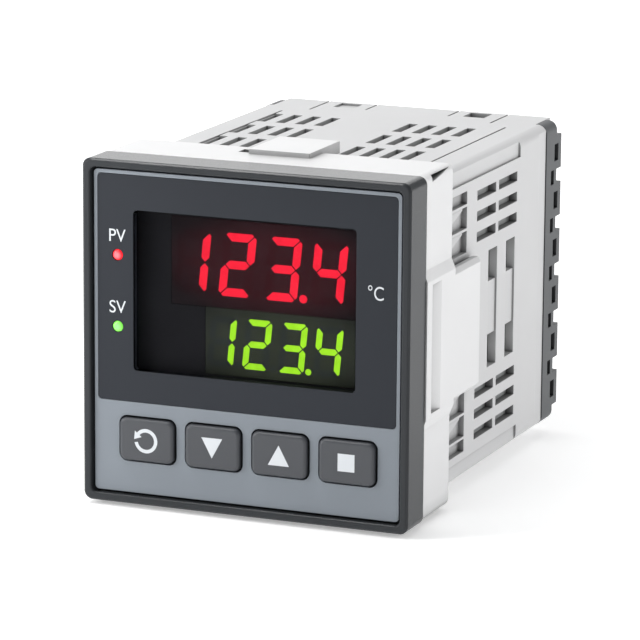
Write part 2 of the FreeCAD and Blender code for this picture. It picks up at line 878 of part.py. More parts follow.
def return_arrow(depth):
    """A ring that is open at the left, with an arrow head at its upper end."""
    outer = D.arrow_radius.value
    stroke = D.arrow_stroke.value
    ring = Part.makeCylinder(outer, depth, Vector(0, 0, 0), Vector(0, 1, 0))
    bore = Part.makeCylinder(outer - stroke, depth, Vector(0, 0, 0), Vector(0, 1, 0))
    reach = 2 * outer
    opening_start = math.radians(141)
    opening_end = math.radians(190)
    opening = prism([(0, 0), (reach * math.cos(opening_start), reach * math.sin(opening_start)),
                     (reach * math.cos(opening_end), reach * math.sin(opening_end))], depth)
    arc = ring.cut(bore).cut(opening)
    middle = outer - stroke / 2
    outward = Vector(math.cos(opening_start), 0, math.sin(opening_start))
    ahead = Vector(-math.sin(opening_start), 0, math.cos(opening_start))
    root = outward * middle
    half = D.arrow_head_width.value / 2
    corners = [root - outward * half, root + outward * half,
               root + ahead * D.arrow_head_length.value]
    head = prism([(corner.x, corner.z) for corner in corners], depth)
    return arc.fuse(head).removeSplitter()


def legend_shape(name):
    """The symbol moulded into a key, standing on the key's front plane at the origin."""
    depth = D.legend_depth.value
    if name == "mode":
        return return_arrow(depth)
    if name == "stop":
        half = D.square_size.value / 2
        return prism([(-half, -half), (half, -half), (half, half), (-half, half)], depth)
    half = D.triangle_width.value / 2
    tip = D.triangle_height.value / 2 * (1 if name == "up" else -1)
    return prism([(-half, -tip), (half, -tip), (0, tip)], depth)


def build_key(name, centre):
    """A moulded key: domed cap, retaining flange and stem, with its symbol in a second colour."""
    body = new_body(f"{name}_key_blank")
    cap = Profile(body, "cap_outline", "y", key_front)
    centred(cap, D.key_width, D.key_height, D.key_corner, across=centre, up=D.key_row_z)
    pad(body, "cap_block", cap, plate_back - key_front)
    dress(body, "Fillet", "cap_round", D.key_round,
          lambda edge: lies_at(edge, "Y", key_front.value))
    flange = Profile(body, "flange_outline", "y", plate_back)
    centred(flange, D.key_width + 2 * D.key_flange, D.key_height + 2 * D.key_flange,
            D.key_corner, across=centre, up=D.key_row_z)
    pad(body, "flange_block", flange, D.key_flange_thickness)
    stem = Profile(body, "stem_outline", "y", plate_back + D.key_flange_thickness)
    stem.circle(centre, D.key_row_z, D.key_stem)
    pad(body, "stem_block", stem, plunger_front - plate_back - D.key_flange_thickness)
    symbol = legend_shape(name)
    symbol.translate(Vector(centre.value, key_front.value, D.key_row_z.value))
    legend = free_shape(f"{name}_legend", Part.makeCompound([symbol]))
    key = cut(f"{name}_key", body, legend)
    plunger = drum(f"{name}_plunger", centre, plunger_front, D.key_row_z, D.plunger_size,
                   D.plunger_proud + D.plunger_depth)
    return [key, legend, plunger]


def build_switches():
    """The four tactile switches on the display board, each bored for its plunger."""
    bored = []
    for name, centre in zip(KEY_NAMES, key_centres):
        shell = block(f"{name}_switch_shell", centre - D.switch_size / 2,
                      centre + D.switch_size / 2, switch_front, board_front,
                      D.key_row_z - D.switch_size / 2, D.key_row_z + D.switch_size / 2)
        bore = drum(f"{name}_switch_bore", centre, switch_front, D.key_row_z,
                    D.plunger_size + 2 * D.plunger_bore_gap,
                    D.plunger_depth + D.key_travel + D.plunger_bore_gap)
        bored.append(cut(f"{name}_switch", shell, bore))
    return grouped("tact_switches", bored)


# ---------------------------------------------------------------------------------------------
# Case
# ---------------------------------------------------------------------------------------------
def cut_side_openings(body):
    """Vents, tall slots and their joining panel lines, alike on both side walls."""
    vents = Profile(body, "side_vents", "x", -D.case_width / 2)
    column_pitch = D.side_slot_length + D.side_slot_gap
    for end in (1, -1):
        for row in range(3):
            height = end * (D.side_slot_top - row * D.side_slot_pitch)
            for column in range(2):
                start = D.side_slot_start + column * column_pitch
                vents.rectangle(start, start + D.side_slot_length,
                                height - D.side_slot_height / 2, height + D.side_slot_height / 2)
        for column in range(2):
            start = D.tall_slot_start + column * D.tall_slot_pitch
            middle = end * D.tall_slot_z
            vents.rectangle(start, start + D.tall_slot_width, middle - D.tall_slot_height / 2,
                            middle + D.tall_slot_height / 2)
    pocket(body, "side_vent_cuts", vents, D.case_width)
    for column in range(2):
        start = D.tall_slot_start + column * D.tall_slot_pitch
        lines = Profile(body, f"side_panel_lines_{column}", "y", start)
        reach = D.tall_slot_z - D.tall_slot_height / 2
        for side in (1, -1):
            skin = side * D.case_width / 2
            floor = side * (D.case_width / 2 - D.panel_line_depth)
            edges = (floor, skin) if side > 0 else (skin, floor)
            lines.rectangle(*edges, -reach, reach)
        pocket(body, f"side_panel_line_cuts_{column}", lines, D.tall_slot_width)


def catch_window_edges():
    """Low and high edge of each catch window: a slot and two windows above, the same below."""
    upper = []
    edge = D.catch_high
    for height in (D.catch_slot_height, D.catch_window_height, D.catch_window_height):
        upper.append((edge - height, edge))
        edge = edge - height - D.catch_rib
    return upper, [(-high, -low) for low, high in upper]


def cut_catches(body):
    """Blind catch windows near the front of both side walls, each with sloping teeth."""
    upper, lower = catch_window_edges()
    for side in (1, -1):
        skin = side * D.case_width / 2
        openings = Profile(body, f"catch_windows_{side + 1}", "x", skin)
        for low, high in upper + lower:
            openings.rectangle(D.catch_start, D.catch_end, low, high)
        pocket(body, f"catch_cuts_{side + 1}", openings, D.catch_depth, towards=-side)
        teeth = Profile(body, f"catch_teeth_{side + 1}", "x",
                        side * (D.case_width / 2 - D.catch_depth))
        for low, high in upper[1:] + lower[1:]:
            teeth.polygon([(D.tooth_start, high), (D.tooth_start, high - D.tooth_drop),
                           (D.tooth_end, high - D.tooth_tip), (D.tooth_end, high)])
        pad(body, f"catch_tooth_wedges_{side + 1}", teeth, D.tooth_height, towards=side)


def roof_slot(profile, across, row):
    start = D.roof_slot_start + row * D.roof_slot_row_pitch
    centred(profile, D.roof_slot_width, D.roof_slot_length, across=across,
            up=start + D.roof_slot_length / 2)


def cut_roof_openings(body):
    """Vents in the roof and the floor: rows of slots in two groups, one slot left out."""
    slots = Profile(body, "roof_vents", "z", -D.case_height / 2)
    for row in range(3):
        for step in range(4):
            roof_slot(slots, D.roof_slot_right + step * D.roof_slot_pitch, row)
        for step in range(1 if row == 0 else 0, 4):
            roof_slot(slots, -D.roof_slot_left - step * D.roof_slot_pitch, row)
    pocket(body, "roof_vent_cuts", slots, D.case_height)


def skin_band(level, depth):
    """Low and high edge of a shallow cut in the roof (level 1) or the floor (level -1)."""
    skin = level * D.case_height / 2
    floor = level * (D.case_height / 2 - depth)
    return (floor, skin) if level > 0 else (skin, floor)


def cut_lines(body, name, places, start, end):
    """Fine moulding lines along the roof and the floor, alike on the left and the right."""
    lines = Profile(body, name, "y", start)
    for level in (1, -1):
        for side in (1, -1):
            for place in places:
                middle = side * place
                lines.rectangle(middle - D.roof_line_width / 2, middle + D.roof_line_width / 2,
                                *skin_band(level, D.panel_line_depth))
    pocket(body, f"{name}_cuts", lines, end - start)


def cut_racks(body):
    """Toothed racks that the adapter's upper and lower tabs run along."""
    for level in (1, -1):
        skin = level * D.case_height / 2
        root = level * (D.case_height / 2 - D.rack_depth)
        rack = Profile(body, f"rack_{level + 1}", "x", -D.rack_width / 2)
        for tooth in range(6):
            start = D.rack_start + tooth * D.rack_pitch
            rack.polygon([(start, skin), (start + D.rack_tooth, skin),
                          (start + D.rack_tooth, root)])
        pocket(body, f"rack_cuts_{level + 1}", rack, D.rack_width)


def shape_tongues(body):
    """The roof and floor reach back over the terminal block, with a window for its catch."""
    tongues = Profile(body, "tongues", "y", D.case_end)
    half = D.tongue_width / 2
    for level in (1, -1):
        tongues.rectangle(-half, half, *skin_band(level, D.case_wall))
    pad(body, "tongue_plates", tongues, D.tongue_reach)
    middle = D.notch_start + D.notch_length / 2
    windows = Profile(body, "catch_openings", "z", -D.case_height / 2)
    centred(windows, D.notch_width, D.notch_length, across=D.notch_x, up=middle)
    pocket(body, "catch_opening_cuts", windows, D.case_height)
    for level in (1, -1):
        recess = Profile(body, f"blind_opening_{level + 1}", "z", level * D.case_height / 2)
        centred(recess, D.notch_width, D.notch_length, across=-D.notch_x, up=middle)
        pocket(body, f"blind_opening_cut_{level + 1}", recess, D.notch_recess, towards=-level)
    tongue_end = D.case_end + D.tongue_reach
    cut_lines(body, "inner_tongue_lines", [D.inner_line_x], D.inner_line_start, tongue_end)
    cut_lines(body, "outer_tongue_lines", [D.outer_line_x], D.outer_line_start, tongue_end)


def step_sides(body, name, depth, start, end, low, high):
    """Set back a band of both side walls by a shallow step."""
    band = Profile(body, name, "y", start)
    for side in (1, -1):
        skin = side * D.case_width / 2
        floor = side * (D.case_width / 2 - depth)
        left, right = (floor, skin) if side > 0 else (skin, floor)
        band.rectangle(left, right, low, high)
    pocket(body, f"{name}_cuts", band, end - start)


def build_case():
    """The moulded case: a square tube, vented all round, with catches for the adapter."""
    body = new_body("housing")
    length = D.case_end - case_front
    outline = Profile(body, "case_outline", "y", case_front)
    centred(outline, D.case_width, D.case_height, D.case_corner)
    pad(body, "case_block", outline, length)
    top = D.case_height / 2
    step_low = top - D.corner_step_height
    step_sides(body, "upper_steps", D.corner_step, case_front, D.corner_step_end, step_low, top)
    step_sides(body, "lower_steps", D.corner_step, case_front, D.corner_step_end, -top,
               -step_low)
    step_sides(body, "rear_steps", D.rear_step, D.rear_step_start, D.case_end, -top, top)
    hollow = Profile(body, "case_hollow", "y", case_front)
    centred(hollow, D.case_width - 2 * D.case_wall, D.case_height - 2 * D.case_wall,
            D.case_corner / 2)
    pocket(body, "case_hollow_cut", hollow, length)
    cut_roof_openings(body)
    shape_tongues(body)
    cut_lines(body, "long_lines", [D.roof_line_x], case_front, D.roof_line_end)
    cut_racks(body)
    cut_side_openings(body)
    cut_catches(body)
    return body


def build_liners():
    """Pale insulating sheets inside the side walls, open behind the tall slots."""
    sheets = []
    half = D.liner_height / 2
    opening = D.liner_opening_height / 2
    for name, side in (("right", 1), ("left", -1)):
        wall = side * (D.case_width / 2 - D.case_wall)
        face = side * (D.case_width / 2 - D.case_wall - D.liner_thickness)
        left, right = (face, wall) if side > 0 else (wall, face)
        sheet_blank = block(f"{name}_liner_blank", left, right, D.liner_start, D.liner_end,
                            -half, half)
        gap = block(f"{name}_liner_opening", left, right, D.liner_opening_start, D.liner_end,
                    -opening, opening)
        sheets.append(cut(f"{name}_liner", sheet_blank, gap))
    return grouped("side_liners", sheets)


# ---------------------------------------------------------------------------------------------
# Terminal block
# ---------------------------------------------------------------------------------------------
def terminal_places():
    """Centre of each terminal, column by column."""
    places = []
    for column in range(int(D.terminal_columns.value)):
        across = (column - (D.terminal_columns - 1) / 2) * D.terminal_column_pitch
        for row in range(int(D.terminal_rows.value)):
            up = (row - (D.terminal_rows - 1) / 2) * D.terminal_row_pitch
            places.append((across, up))
    return places


def build_terminal_block():
    """The dark rear block: a base, six towers with valleys between, wells and wire entries."""
    body = new_body("terminal_block")
    base_end = D.case_end + D.block_base
    valley_end = base_end + D.block_valley
    base = Profile(body, "block_outline", "y", D.case_end)
    centred(base, D.case_width, D.case_height, D.block_corner)
    pad(body, "block_base_plate", base, D.block_base + D.block_valley)
    towers = Profile(body, "tower_outlines", "y", valley_end)
    for row in range(int(D.terminal_rows.value)):
        middle = (row - (D.terminal_rows - 1) / 2) * D.terminal_row_pitch
        towers.rectangle(-D.case_width / 2, D.case_width / 2,
                         middle - D.tower_height / 2,
                         middle + D.tower_height / 2)
    pad(body, "tower_blocks", towers, D.block_tower)
    seats = Profile(body, "tongue_seats", "y", D.case_end)
    half = D.tongue_width / 2 + D.seat_gap
    reach = D.case_height / 2 - D.case_wall - D.seat_gap
    edge = D.case_height / 2
    seats.rectangle(-half, half, reach, edge)
    seats.rectangle(-half, half, -edge, -reach)
    pocket(body, "tongue_seat_cuts", seats, block_end - D.case_end)
    wells = Profile(body, "screw_wells", "y", block_end)
    entries = Profile(body, "wire_entries", "y", block_end)
    shanks = Profile(body, "shank_bores", "y", block_end)
    for across, up in terminal_places():
        wells.circle(across + D.well_x, up, D.well_bore)
        shanks.circle(across + D.well_x, up, D.screw_shank + 2 * D.seat_gap)
        centred(entries, D.entry_width, D.entry_height, across=across + D.entry_x, up=up)
    pocket(body, "screw_well_cuts", wells, D.well_depth, towards=-1)
    pocket(body, "wire_entry_cuts", entries, D.entry_depth, towards=-1)
    pocket(body, "shank_bore_cuts", shanks, D.well_depth + D.screw_length, towards=-1)
    for side in (1, -1):
        skin = side * D.case_width / 2
        hollows = Profile(body, f"side_pockets_{side + 1}", "x", skin)
        for row in range(int(D.terminal_rows.value)):
            middle = (row - (D.terminal_rows - 1) / 2) * D.terminal_row_pitch
            hollows.rectangle(valley_end - D.side_pocket_lead, valley_end + D.side_pocket_tail,
                              middle - D.side_pocket_height / 2,
                              middle + D.side_pocket_height / 2)
        for gap in range(int(D.terminal_rows.value) - 1):
            middle = (gap - (D.terminal_rows - 2) / 2) * D.terminal_row_pitch
            space = D.terminal_row_pitch - D.tower_height
            hollows.rectangle(base_end, base_end + D.valley_relief, middle - space / 2,
                              middle + space / 2)
        pocket(body, f"side_pocket_cuts_{side + 1}", hollows, D.side_pocket_depth,
               towards=-side)
    return body


def screw_solid():
    """A terminal screw with a crossed head, its seat at the origin and its head towards +Y."""
    head = Part.makeCylinder(D.screw_head.value / 2, D.screw_head_height.value, Vector(0, 0, 0),
                             Vector(0, 1, 0))
    shank = Part.makeCylinder(D.screw_shank.value / 2, D.screw_length.value, Vector(0, 0, 0),
                              Vector(0, -1, 0))
    slot = D.screw_slot.value
    reach = D.screw_slot_length.value
    depth = D.screw_slot_depth.value
    cross = None
    for across, up in ((reach, slot), (slot, reach)):
        bar = Part.makeBox(across, depth, up,
                           Vector(-across / 2, D.screw_head_height.value - depth, -up / 2))
        cross = bar if cross is None else cross.fuse(bar)
    return head.fuse(shank).cut(cross).removeSplitter()


def build_screws():
    """One identical screw in every well."""
    seat_y = (block_end - D.well_depth).value
    screws = []
    for across, up in terminal_places():
        screw = screw_solid()
        screw.translate(Vector((across + D.well_x).value, seat_y, up.value))
        screws.append(screw)
    return free_shape("terminal_screws", Part.makeCompound(screws))


def build_clamps():
    """A metal cage clamp at the bottom of every wire entry."""
    width = D.entry_width.value - 2 * D.seat_gap.value
    height = D.entry_height.value - 2 * D.seat_gap.value
    wall = D.clamp_wall.value
    floor = (block_end - D.entry_depth).value
    clamps = []
    for across, up in terminal_places():
        centre_x = (across + D.entry_x).value
        corner = Vector(centre_x - width / 2, floor, up.value - height / 2)
        cage = Part.makeBox(width, D.clamp_length.value, height, corner)
        mouth = Part.makeBox(width - 2 * wall, D.clamp_length.value, height - 2 * wall,
                             corner + Vector(wall, wall, wall))
        clamps.append(cage.cut(mouth))
    return free_shape("terminal_clamps", Part.makeCompound(clamps))


# ---------------------------------------------------------------------------------------------
# Mounting adapter
# ---------------------------------------------------------------------------------------------
def build_adapter():
    """The collar that slides along the case, with a spring arm on each side and tabs above
    and below."""
    body = new_body("mounting_adapter")
    depth = D.adapter_end - D.adapter_front
    half = adapter_outer_half
    top = adapter_top_half
    collar = Profile(body, "collar_outline", "y", D.adapter_front)
    collar.rounded(-half, half, -top, top, D.adapter_corner)
    pad(body, "collar_block", collar, depth)
    arm_half = D.arm_height / 2
    shoulders = Profile(body, "arm_shoulders", "y", D.adapter_front)
    for side in (1, -1):
        base = side * (half - D.adapter_wall / 2)
        skin = side * half
        face = side * arm_outer
        wide = arm_half + D.arm_shoulder + D.arm_ramp
        narrow = arm_half + D.arm_shoulder
        shoulders.polygon([(base, -wide), (skin, -wide), (face, -narrow), (face, narrow),
                           (skin, wide), (base, wide)])
    pad(body, "arm_shoulder_blocks", shoulders, depth)
    arms = Profile(body, "arm_outlines", "y", D.adapter_end)
    for side in (1, -1):
        near = side * arm_inner
        far = side * arm_outer
        left, right = (near, far) if side > 0 else (far, near)
        arms.rectangle(left, right, -arm_half, arm_half)
    pad(body, "arm_blocks", arms, D.arm_end - D.adapter_end)
    tab_half = D.tab_width / 2
    roots = Profile(body, "tab_roots", "y", D.tab_start)
    tips = Profile(body, "tab_tips", "y", D.adapter_end)
    for level in (1, -1):
        outer = level * tab_outer
        root = level * (top - D.adapter_wall / 2)
        inner = level * tab_inner
        low, high = (root, outer) if level > 0 else (outer, root)
        roots.rectangle(-tab_half, tab_half, low, high)
        low, high = (inner, outer) if level > 0 else (outer, inner)
        tips.rectangle(-tab_half, tab_half, low, high)
    pad(body, "tab_root_blocks", roots, D.adapter_end - D.tab_start)
    pad(body, "tab_tip_blocks", tips, D.tab_end - D.adapter_end)
    bore = Profile(body, "collar_bore", "y", D.adapter_front)
    bore.rounded(-adapter_inner_half, adapter_inner_half, -adapter_inner_top, adapter_inner_top,
                 D.case_corner)
    pocket(body, "collar_bore_cut", bore, depth)
    slots = Profile(body, "finger_slots", "z", -D.finger_slot_height / 2)
    for side in (1, -1):
        face = side * arm_outer
        floor = side * (arm_outer - D.finger_slot_depth)
        slots.polygon([(floor, D.finger_slot_start), (face, D.finger_slot_start),
                       (face, D.finger_slot_end)])
    pocket(body, "finger_slot_cuts", slots, D.finger_slot_height)
    pawls = Profile(body, "pawls", "z", -D.pawl_width / 2)
    for side in (1, -1):
        root = side * (arm_inner + D.arm_thickness / 4)
        skin = side * arm_inner
        tip = side * (arm_inner - D.pawl_height)
        start = D.arm_end - D.tip_chamfer - D.pawl_length
        pawls.polygon([(root, start), (tip, start), (skin, start + D.pawl_length),
                       (root, start + D.pawl_length)])
    pad(body, "pawl_blocks", pawls, D.pawl_width)
    lip = top - D.relief_lip
    relief_end = D.relief_start + D.relief_length
    for side in (1, -1):
        wedges = Profile(body, f"corner_relief_{side + 1}", "x", side * half)
        wedges.polygon([(D.relief_start, lip - D.relief_drop), (relief_end, lip),
                        (D.relief_start, lip)])
        pocket(body, f"corner_relief_cut_{side + 1}", wedges, D.relief_depth, towards=-side)
    notches = Profile(body, "release_notches", "z", -tab_outer)
    notch_right = -tab_half - D.release_gap
    notches.rectangle(notch_right - D.release_width, notch_right, D.release_start,
                      D.release_start + D.release_length)
    pocket(body, "release_notch_cut", notches, 2 * tab_outer)

    def arm_edge(edge):
        box = edge.BoundBox
        outermost = min(abs(box.XMin), abs(box.XMax)) > arm_outer.value - 1e-3
        behind_collar = box.YMin > D.adapter_end.value - 1e-3
        return runs_along(edge, "Y") and outermost and behind_collar

    dress(body, "Chamfer", "arm_edge_bevel", D.arm_bevel, arm_edge)

    def arm_tip(edge):
        box = edge.BoundBox
        outermost = max(abs(box.XMin), abs(box.XMax)) > arm_outer.value - 1e-3
        return lies_at(edge, "Y", D.arm_end.value) and runs_along(edge, "Z") and outermost

    dress(body, "Chamfer", "arm_tip_bevel", D.tip_chamfer, arm_tip)
    return body


# ---------------------------------------------------------------------------------------------
# Boards and the components on them
# ---------------------------------------------------------------------------------------------
def build_boards():
    """The display board across the front and two boards that run back to the terminals."""
    half_width = D.case_width / 2 - D.case_wall - D.board_gap
    half_height = D.case_height / 2 - D.case_wall - D.board_gap
    inner = D.side_board_x
    outer = D.side_board_x + D.board_thickness
    half = D.side_board_height / 2
    display = block("display_board", -half_width, half_width, board_front, board_back,
                    -half_height, half_height)
    power = block("power_board", inner, outer, board_back, D.case_end, -half, half)
    control = block("control_board", -outer, -inner, board_back, D.case_end, -half, half)
    return [display, power, control]


def build_components():
    """Parts soldered to the inner faces of the two long boards."""
    face = D.side_board_x
    coil_front = board_back + D.coil_start
    coil = block("transformer_coil", face - D.coil_reach, face, coil_front,
                 coil_front + D.coil_length, -D.coil_height / 2, D.coil_height / 2)
    core_front = board_back + D.core_start
    core = block("transformer_core", face - D.core_reach, face - D.core_standoff, core_front,
                 core_front + D.core_length, -D.core_height / 2, D.core_height / 2)
    transformer = fused("transformer", [coil, core])
    relay_front = board_back + D.relay_start
    relay = block("output_relay", face - D.relay_reach, face, relay_front,
                  relay_front + D.relay_length, -D.relay_height / 2, D.relay_height / 2)
    can_place = board_back + D.can_start
    cans = [drum("large_capacitor", face - D.large_can_length, can_place, D.large_can_z,
                 D.large_can_bore, D.large_can_length, axis="x"),
            drum("small_capacitor", face - D.small_can_length, can_place, D.small_can_z,
                 D.small_can_bore, D.small_can_length, axis="x")]
    capacitors = grouped("power_capacitors", cans)
    chip_front = board_back + D.processor_start
    processor = block("processor_chip", -face, -face + D.processor_thickness, chip_front,
                      chip_front + D.processor_size, D.processor_z - D.processor_size / 2,
                      D.processor_z + D.processor_size / 2)
    drivers = []
    for index in range(3):
        front = board_back + D.driver_start + index * D.driver_pitch
        drivers.append(block(f"driver_{index}", -face, -face + D.driver_thickness, front,
                             front + D.driver_length, D.driver_z - D.driver_height / 2,
                             D.driver_z + D.driver_height / 2))
    driver_chips = grouped("driver_chips", drivers)
    headers = [block(f"header_{index}", left, left + D.header_width, board_back,
                     board_back + D.header_length, -D.header_height / 2, D.header_height / 2)
               for index, left in enumerate((-face, face - D.header_width))]
    board_headers = grouped("board_headers", headers)
    return [transformer, relay, capacitors, processor, driver_chips, board_headers]


# ---------------------------------------------------------------------------------------------
# Assembly, checks and files
# ---------------------------------------------------------------------------------------------
def build_all():
    """Every sub-part of the controller, front to back."""
    nodes = [build_bezel(), build_gasket(), build_plate(), build_mask(), build_window()]
    nodes += [build_indicator(label, height) for label, height in indicator_heights.items()]
    nodes += build_display("pv", D.pv_x, D.pv_z, D.pv_width, D.pv_height, D.pv_digits_x,
                           D.pv_digit_width, D.pv_digit_height, D.pv_stroke, D.pv_pitch)
    nodes += build_display("sv", D.sv_x, D.sv_z, D.sv_width, D.sv_height, D.sv_digits_x,
                           D.sv_digit_width, D.sv_digit_height, D.sv_stroke, D.sv_pitch)
    nodes.append(build_shade())
    for name, centre in zip(KEY_NAMES, key_centres):
        nodes += build_key(name, centre)
    nodes.append(build_switches())
    nodes += [build_case(), build_liners()]
    nodes += [build_terminal_block(), build_screws(), build_clamps()]
    nodes += build_boards()
    nodes += build_components()
    nodes.append(build_adapter())
    return nodes


def check_document():
    for item in doc.Objects:
        if "Invalid" in item.State or "Error" in item.State:
            raise RuntimeError(f"{item.Label} did not build: {item.State}")


def check_shape(node):
    if node.Shape.isNull() or not node.Shape.isValid():
        raise RuntimeError(f"{node.Label} has no valid shape")


def main():
    nodes = build_all()
    doc.recompute()
    check_document()
    for node in nodes:
        check_shape(node)
    os.makedirs("parts", exist_ok=True)
    for node in nodes:
        node.Shape.exportStep(f"parts/{node.Label}.step")
        box = node.Shape.BoundBox
        print(f"{node.Label:22s} solids {len(node.Shape.Solids):3d}  volume {node.Shape.Volume:9.2f}"
              f"  x {box.XMin:7.2f} {box.XMax:7.2f}  y {box.YMin:7.2f} {box.YMax:7.2f}"
              f"  z {box.ZMin:7.2f} {box.ZMax:7.2f}")


main()
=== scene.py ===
import json
import math

import bmesh
import bpy
from mathutils import Matrix, Vector


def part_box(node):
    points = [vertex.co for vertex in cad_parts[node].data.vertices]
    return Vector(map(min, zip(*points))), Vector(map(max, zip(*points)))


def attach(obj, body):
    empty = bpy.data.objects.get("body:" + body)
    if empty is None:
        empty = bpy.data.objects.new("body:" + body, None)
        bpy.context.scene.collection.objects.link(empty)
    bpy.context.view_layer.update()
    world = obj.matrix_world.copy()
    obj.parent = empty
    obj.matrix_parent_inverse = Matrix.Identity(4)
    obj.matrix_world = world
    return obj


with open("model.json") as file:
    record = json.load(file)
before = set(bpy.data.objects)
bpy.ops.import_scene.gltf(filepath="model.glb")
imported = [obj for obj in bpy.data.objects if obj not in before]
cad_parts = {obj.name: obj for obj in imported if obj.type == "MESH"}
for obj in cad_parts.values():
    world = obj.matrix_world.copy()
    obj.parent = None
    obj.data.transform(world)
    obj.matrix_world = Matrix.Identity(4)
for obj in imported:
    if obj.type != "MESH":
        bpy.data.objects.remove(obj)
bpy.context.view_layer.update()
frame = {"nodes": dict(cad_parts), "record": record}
nodes = frame["nodes"]

MM = 0.001
ROOT = "controller_case"

# The row frame's place of the controller's own centre line: its front plane and its mid height.
FRONT_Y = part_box("front_bezel")[0].y
CENTRE_Z = (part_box("front_bezel")[0].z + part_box("front_bezel")[1].z) / 2
PLATE_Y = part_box("front_plate")[0].y

# How far the bars' light spreads over each module's face, across and up, in millimetres.
PV_HALO = (17.0, 7.6)
SV_HALO = (15.0, 7.0)
INDICATOR_HALO = (0.75, 0.75)

# Printed lettering stands clear of the plate by this much, in metres.
INK_STANDOFF = 0.00002


# ---------------------------------------------------------------------------------------------
# Material building blocks
# ---------------------------------------------------------------------------------------------
class Nodes:
    """A node material and short calls for the nodes this scene uses."""

    def __init__(self, name):
        self.material = bpy.data.materials.new(name)
        self.material.use_nodes = True
        self.tree = self.material.node_tree
        self.tree.nodes.clear()
        self.output = self.add("ShaderNodeOutputMaterial")
        self.coords = self.add("ShaderNodeTexCoord").outputs["Object"]

    def add(self, kind, **settings):
        node = self.tree.nodes.new(kind)
        for key, value in settings.items():
            setattr(node, key, value)
        return node

    def link(self, source, target):
        self.tree.links.new(source, target)

    def stretched(self, scale):
        mapping = self.add("ShaderNodeMapping")
        mapping.inputs["Scale"].default_value = scale
        self.link(self.coords, mapping.inputs["Vector"])
        return mapping.outputs["Vector"]

    def noise(self, scale, detail=3.0, roughness=0.5, vector=None):
        node = self.add("ShaderNodeTexNoise")
        node.inputs["Scale"].default_value = scale
        node.inputs["Detail"].default_value = detail
        node.inputs["Roughness"].default_value = roughness
        self.link(vector or self.coords, node.inputs["Vector"])
        return node.outputs["Fac"]

    def ramp(self, factor, stops):
        node = self.add("ShaderNodeValToRGB")
        elements = node.color_ramp.elements
        while len(elements) < len(stops):
            elements.new(0.5)
        for element, (place, colour) in zip(elements, stops):
            element.position = place
            element.color = (*colour, 1.0)
        self.link(factor, node.inputs["Fac"])
        return node.outputs["Color"]

    def span(self, factor, low, high):
        node = self.add("ShaderNodeMapRange")
        node.inputs["To Min"].default_value = low
        node.inputs["To Max"].default_value = high
        self.link(factor, node.inputs["Value"])
        return node.outputs["Result"]

    def bump(self, height, strength, distance, normal=None):
        node = self.add("ShaderNodeBump")
        node.inputs["Strength"].default_value = strength
        node.inputs["Distance"].default_value = distance
        self.link(height, node.inputs["Height"])
        if normal is not None:
            self.link(normal, node.inputs["Normal"])
        return node.outputs["Normal"]

    def soft_edges(self, radius):
        node = self.add("ShaderNodeBevel")
        node.samples = 6
        node.inputs["Radius"].default_value = radius
        return node.outputs["Normal"]

    def painted_corner_shade(self, colour, reach):
        """The colour with painted shade: darker in corners and slots within the given reach."""
        node = self.add("ShaderNodeAmbientOcclusion")
        node.samples = 8
        node.inputs["Distance"].default_value = reach
        self.link(colour, node.inputs["Color"])
        return node.outputs["Color"]

    def nearness(self, node, reach_x, reach_z):
        """1 at the middle of a node's front, falling to 0 at the given distances from it."""
        low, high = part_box(node)
        middle = nodes[node].matrix_world.inverted() @ ((low + high) / 2)
        scale = Vector((1 / (reach_x * MM), 0.0, 1 / (reach_z * MM)))
        mapping = self.add("ShaderNodeMapping")
        mapping.inputs["Scale"].default_value = scale
        mapping.inputs["Location"].default_value = (-middle.x * scale.x, 0.0,
                                                    -middle.z * scale.z)
        self.link(self.coords, mapping.inputs["Vector"])
        ball = self.add("ShaderNodeTexGradient", gradient_type="SPHERICAL")
        self.link(mapping.outputs["Vector"], ball.inputs["Vector"])
        return ball.outputs["Fac"]

    def surface(self, **sockets):
        shader = self.add("ShaderNodeBsdfPrincipled")
        for name, value in sockets.items():
            socket = shader.inputs[name.replace("_", " ")]
            if isinstance(value, bpy.types.NodeSocket):
                self.link(value, socket)
            else:
                socket.default_value = value
        return shader

    def finish(self, shader):
        self.link(shader.outputs[0], self.output.inputs["Surface"])
        return self.material


def tint(colour, factor):
    return tuple(min(1.0, channel * factor) for channel in colour)


def plastic(name, colour, roughness, grain=0.12, grain_size=0.25, variation=0.05, edge=0.12,
            specular=0.5, painted_shade_reach=0.0):
    """Moulded plastic: fine surface grain, slow tone variation, softened edges, optional painted
    shade in corners.
    """
    m = Nodes(name)
    broad = m.noise(60.0, 3.0)
    fine = m.noise(1000.0 / grain_size, 4.0, 0.6)
    tone = m.ramp(broad, [(0.3, tint(colour, 1 - variation)), (0.7, tint(colour, 1 + variation))])
    # Painted shade: the tone is darkened in corners and slots, out to the given reach.
    if painted_shade_reach:
        tone = m.painted_corner_shade(tone, painted_shade_reach * MM)
    gloss = m.span(fine, roughness - 0.06, roughness + 0.06)
    normal = m.bump(fine, grain, 0.00004, m.soft_edges(edge * MM))
    shader = m.surface(Base_Color=tone, Roughness=gloss, Normal=normal)
    shader.inputs["Specular IOR Level"].default_value = specular
    return m.finish(shader)


def metal(name, colour, roughness, brushed=(1.0, 1.0, 1.0)):
    m = Nodes(name)
    lines = m.noise(3000.0, 3.0, 0.6, m.stretched(brushed))
    tone = m.ramp(lines, [(0.3, tint(colour, 0.8)), (0.7, tint(colour, 1.1))])
    gloss = m.span(lines, roughness - 0.08, roughness + 0.12)
    normal = m.bump(lines, 0.15, 0.00003, m.soft_edges(0.1 * MM))
    return m.finish(m.surface(Base_Color=tone, Roughness=gloss, Normal=normal, Metallic=1.0))


def lamp(name, colour, strength):
    """Bars of light, a little uneven along their length."""
    m = Nodes(name)
    cloud = m.noise(900.0, 2.0)
    glow = m.ramp(cloud, [(0.25, tint(colour, 0.82)), (0.75, colour)])
    shader = m.surface(Base_Color=glow, Roughness=0.35, Emission_Color=glow,
                       Emission_Strength=strength)
    return m.finish(shader)


